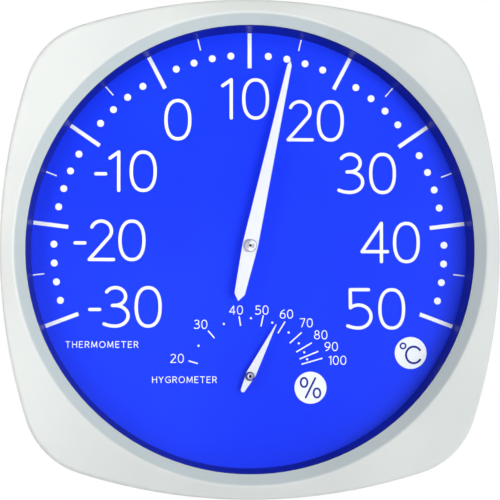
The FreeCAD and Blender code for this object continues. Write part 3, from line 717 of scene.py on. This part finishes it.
def lathe(name, profile, centre, material):
    """Ring-shaped solid of revolution about Y: profile is a closed line of (radius, y) points."""
    solid = bmesh.new()
    rings = [loop(solid, circle(0, 0, radius), y) for radius, y in profile]
    for first, second in zip(rings, rings[1:] + rings[:1]):
        wall(solid, first, second)
    piece = mesh_object(name, solid, material)
    for face in piece.data.polygons:
        face.use_smooth = True
    piece.data.set_sharp_from_angle(angle=SHARP_EDGE)
    piece.location = centre
    return piece


def shade_disc(name, front, centre, material):
    """Dark disc that closes a cap's centre hole a little behind the face, as painted shade in the hole."""
    near, far = (front + depth for depth in HOLE_SHADE_DEPTHS)
    solid = bmesh.new()
    slab(solid, circle(0, 0, HOLE_SHADE_RADIUS, HOLE_SHADE_SIDES), near, far)
    piece = mesh_object(name, solid, material)
    piece.location = centre
    return piece


def hub_cap(movement, materials):
    """Cap with a turned face and a centre hole, its bevelled rim, and a dark disc in the hole as painted
    shade.
    """
    low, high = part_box(movement + "_pointer_hub")
    sheet_low, sheet_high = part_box(movement + "_pointer")
    centre = (low + high) / 2
    front, seat = low.y - centre.y, sheet_low.y - centre.y
    collar_front, rear = sheet_high.y - centre.y, high.y - centre.y
    radius = (high.x - low.x) / 2
    bevel_width, bevel_height = HUB_BEVELS[movement]
    face_radius = radius - bevel_width
    face_edge = front + HUB_EDGE_ROUNDING / 4
    face = [
        (HUB_HOLE, seat),
        (HUB_HOLE, front + HUB_EDGE_ROUNDING),
        (HUB_HOLE + HUB_EDGE_ROUNDING, front + HUB_EDGE_ROUNDING / 2),
        (face_radius - HUB_EDGE_ROUNDING, front),
        (face_radius, face_edge),
        (face_radius, seat),
        (HUB_SPIGOT, seat),
        (HUB_SPIGOT, collar_front),
        (HUB_COLLAR, collar_front),
        (HUB_COLLAR, rear),
        (HUB_BORE, rear),
        (HUB_BORE, seat),
    ]
    rim = [(face_radius, face_edge), (radius, front + bevel_height), (radius, seat), (face_radius, seat)]
    face_look, rim_look = (materials[look] for look in HUB_SURFACES[movement])
    cap = lathe(movement + "_turned_hub", face, centre, face_look)
    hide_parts(movement + "_pointer_hub")
    hub_rim = lathe(movement + "_hub_rim", rim, centre, rim_look)
    hole_shade = shade_disc(movement + "_hole_shade_disc", front, centre, materials["hole_shade"])
    for piece, slot in ((cap, "hub_metal"), (hub_rim, "hub_metal"), (hole_shade, "arbor_steel")):
        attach(piece, movement + "_hand")


# Studio

def place_round_aim(piece, azimuth, elevation, distance):
    """Sets a light or the camera at a distance from the aim, facing it; azimuth 0 is in front."""
    turn, tilt = math.radians(azimuth), math.radians(elevation)
    away = Vector((math.sin(turn) * math.cos(tilt), -math.cos(turn) * math.cos(tilt), math.sin(tilt)))
    piece.location = AIM + away * distance
    piece.rotation_mode = "QUATERNION"
    piece.rotation_quaternion = (-away).to_track_quat("-Z", "Y")
    bpy.context.scene.collection.objects.link(piece)


def area_light(name, azimuth, elevation, distance, width, height, power, colour):
    light = bpy.data.lights.new(name, "AREA")
    light.shape = "RECTANGLE"
    light.size = width
    light.size_y = height
    light.energy = power
    light.color = colour
    lamp = bpy.data.objects.new(name, light)
    lamp.visible_camera = False
    place_round_aim(lamp, azimuth, elevation, distance)


def studio():
    """Soft ambient light with a plain white background, and the area lights."""
    world = bpy.data.worlds.new("pale_studio")
    world.use_nodes = True
    nodes, links = world.node_tree.nodes, world.node_tree.links
    soft = nodes["Background"]
    soft.inputs["Color"].default_value = (*AMBIENT_COLOUR, 1)
    soft.inputs["Strength"].default_value = AMBIENT
    plain = nodes.new("ShaderNodeBackground")
    plain.inputs["Color"].default_value = (*WHITE, 1)
    path = nodes.new("ShaderNodeLightPath")
    mixed = nodes.new("ShaderNodeMixShader")
    links.new(path.outputs["Is Camera Ray"], mixed.inputs["Fac"])
    links.new(soft.outputs["Background"], mixed.inputs[1])
    links.new(plain.outputs["Background"], mixed.inputs[2])
    links.new(mixed.outputs["Shader"], nodes["World Output"].inputs["Surface"])
    bpy.context.scene.world = world
    bpy.context.scene.view_settings.view_transform = "Standard"
    for name, settings in LIGHTS.items():
        area_light(name, *settings)


def floor():
    """Plain pale disc below the object."""
    paper = surface(
        "floor_paper", FLOOR_DULL, FLOOR_PALE,
        roughness=0.9, grain=300, bump=0.1, specular=0.1, drift=2,
    )
    solid = bmesh.new()
    solid.faces.new([solid.verts.new((x, y, 0)) for x, y in circle(0, 0, FLOOR_RADIUS)])
    piece = mesh_object("floor", solid, paper)
    piece.location = (0, 0, cad_box[0].z - FLOOR_DROP)


def camera():
    data = bpy.data.cameras.new("camera")
    data.sensor_width = SENSOR_WIDTH
    data.lens = SENSOR_WIDTH * CAMERA_DISTANCE / FRAME_WIDTH
    piece = bpy.data.objects.new("camera", data)
    place_round_aim(piece, CAMERA_AZIMUTH, CAMERA_ELEVATION, CAMERA_DISTANCE)
    bpy.context.scene.camera = piece


def main():
    materials = make_materials()
    dress_nodes(materials)
    white = materials["print_white"]
    for print_piece in (print_big_numbers, print_small_numbers, print_words, print_discs):
        piece = print_piece(white)
        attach(piece, "case")
    signs = print_signs(materials["sign_blue"])
    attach(signs, "case")
    for movement in MOVEMENTS:
        hub_cap(movement, materials)
    studio()
    floor()
    camera()


main()
